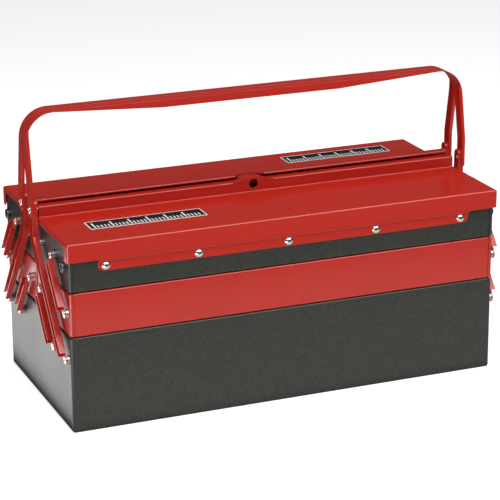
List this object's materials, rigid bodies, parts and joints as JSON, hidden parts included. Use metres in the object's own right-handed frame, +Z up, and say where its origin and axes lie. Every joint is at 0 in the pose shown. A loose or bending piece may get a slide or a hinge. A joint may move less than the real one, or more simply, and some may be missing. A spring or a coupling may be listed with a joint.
{
  "type": "cantilever toolbox",
  "caption": "Sheet-steel cantilever toolbox: deep base, stepped middle and upper trays that swing out on end levers, hinged lids and two carrying handles.",
  "frame": {"origin": "centre of the base's underside, on the surface it stands on", "axes": "+X along the box, -Y the front with the padlock hole, +Z up"},
  "size_m": [0.5866, 0.265, 0.3675],
  "materials": {
    "red_paint": "gloss powder coat",
    "grey_paint": "fine hammered satin",
    "bright_rivets": "bright plated",
    "plain_steel": "zinc plated",
    "dark_steel": "dark plated",
    "label_print": "printed film"
  },
  "bodies": {
    "base": {"base_shell": "grey_paint", "base_end_left": "grey_paint", "base_end_right": "grey_paint", "base_rivets": "bright_rivets", "base_spacers": "plain_steel"},
    "front_lever": {"front_lever_left": "red_paint", "front_lever_right": "red_paint", "front_handle": "red_paint", "front_handle_rivets": "bright_rivets"},
    "front_lower_links": {"front_lower_link_left": "red_paint", "front_lower_link_right": "red_paint"},
    "front_upper_links": {"front_upper_link_left": "red_paint", "front_upper_link_right": "red_paint"},
    "front_middle": {"front_middle_tray": "red_paint", "front_middle_end_left": "red_paint", "front_middle_end_right": "red_paint", "front_middle_rivets": "bright_rivets", "front_middle_spacers": "plain_steel"},
    "front_upper": {"front_upper_tray": "grey_paint", "front_upper_end_left": "grey_paint", "front_upper_end_right": "grey_paint", "front_upper_rivets": "bright_rivets", "front_upper_spacers": "plain_steel", "front_stop_pegs": "dark_steel", "front_hinge_tray_leaf": "red_paint", "front_hinge_pin": "plain_steel", "front_hinge_rivets": "bright_rivets"},
    "front_lid": {"front_lid": "red_paint", "front_label": "label_print", "front_hinge_lid_leaf": "red_paint"},
    "back_lever": {"back_lever_left": "red_paint", "back_lever_right": "red_paint", "back_handle": "red_paint", "back_handle_rivets": "bright_rivets"},
    "back_lower_links": {"back_lower_link_left": "red_paint", "back_lower_link_right": "red_paint"},
    "back_upper_links": {"back_upper_link_left": "red_paint", "back_upper_link_right": "red_paint"},
    "back_middle": {"back_middle_tray": "red_paint", "back_middle_end_left": "red_paint", "back_middle_end_right": "red_paint", "back_middle_rivets": "bright_rivets", "back_middle_spacers": "plain_steel"},
    "back_upper": {"back_upper_tray": "grey_paint", "back_upper_end_left": "grey_paint", "back_upper_end_right": "grey_paint", "back_upper_rivets": "bright_rivets", "back_upper_spacers": "plain_steel", "back_stop_pegs": "dark_steel", "back_hinge_tray_leaf": "red_paint", "back_hinge_pin": "plain_steel", "back_hinge_rivets": "bright_rivets"},
    "back_lid": {"back_lid": "red_paint", "back_label": "label_print", "back_hinge_lid_leaf": "red_paint"}
  },
  "joints": [
    {"name": "front_open", "type": "hinge", "parent": "base", "child": "front_lever", "pos_m": [0, -0.12, 0.092], "axis": [1, 0, 0], "range_deg": [0, 78.5]},
    {"name": "front_middle_level", "type": "hinge", "parent": "front_lever", "child": "front_middle", "pos_m": [0, -0.072, 0.1505], "axis": [1, 0, 0], "range_deg": [-78.5, 0]},
    {"name": "front_upper_level", "type": "hinge", "parent": "front_lever", "child": "front_upper", "pos_m": [0, -0.024, 0.209], "axis": [1, 0, 0], "range_deg": [-78.5, 0]},
    {"name": "front_lower_links_turn", "type": "hinge", "parent": "base", "child": "front_lower_links", "pos_m": [0, -0.071, 0.092], "axis": [1, 0, 0], "range_deg": [0, 78.5]},
    {"name": "front_upper_links_turn", "type": "hinge", "parent": "front_middle", "child": "front_upper_links", "pos_m": [0, -0.121, 0.1505], "axis": [1, 0, 0], "range_deg": [0, 78.5]},
    {"name": "front_lid_open", "type": "hinge", "parent": "front_upper", "child": "front_lid", "pos_m": [0, -0.1299, 0.2142], "axis": [1, 0, 0], "range_deg": [0, 95]},
    {"name": "back_open", "type": "hinge", "parent": "base", "child": "back_lever", "pos_m": [0, 0.12, 0.092], "axis": [-1, 0, 0], "range_deg": [0, 78.5]},
    {"name": "back_middle_level", "type": "hinge", "parent": "back_lever", "child": "back_middle", "pos_m": [0, 0.072, 0.1505], "axis": [-1, 0, 0], "range_deg": [-78.5, 0]},
    {"name": "back_upper_level", "type": "hinge", "parent": "back_lever", "child": "back_upper", "pos_m": [0, 0.024, 0.209], "axis": [-1, 0, 0], "range_deg": [-78.5, 0]},
    {"name": "back_lower_links_turn", "type": "hinge", "parent": "base", "child": "back_lower_links", "pos_m": [0, 0.071, 0.092], "axis": [-1, 0, 0], "range_deg": [0, 78.5]},
    {"name": "back_upper_links_turn", "type": "hinge", "parent": "back_middle", "child": "back_upper_links", "pos_m": [0, 0.121, 0.1505], "axis": [-1, 0, 0], "range_deg": [0, 78.5]},
    {"name": "back_lid_open", "type": "hinge", "parent": "back_upper", "child": "back_lid", "pos_m": [0, 0.1299, 0.2142], "axis": [-1, 0, 0], "range_deg": [0, 95]}
  ],
  "couplings": [
    {"joint": "front_middle_level", "follows": "front_open", "ratio": -1},
    {"joint": "front_upper_level", "follows": "front_open", "ratio": -1},
    {"joint": "front_lower_links_turn", "follows": "front_open", "ratio": 1},
    {"joint": "front_upper_links_turn", "follows": "front_open", "ratio": 1},
    {"joint": "back_middle_level", "follows": "back_open", "ratio": -1},
    {"joint": "back_upper_level", "follows": "back_open", "ratio": -1},
    {"joint": "back_lower_links_turn", "follows": "back_open", "ratio": 1},
    {"joint": "back_upper_links_turn", "follows": "back_open", "ratio": 1}
  ]
}
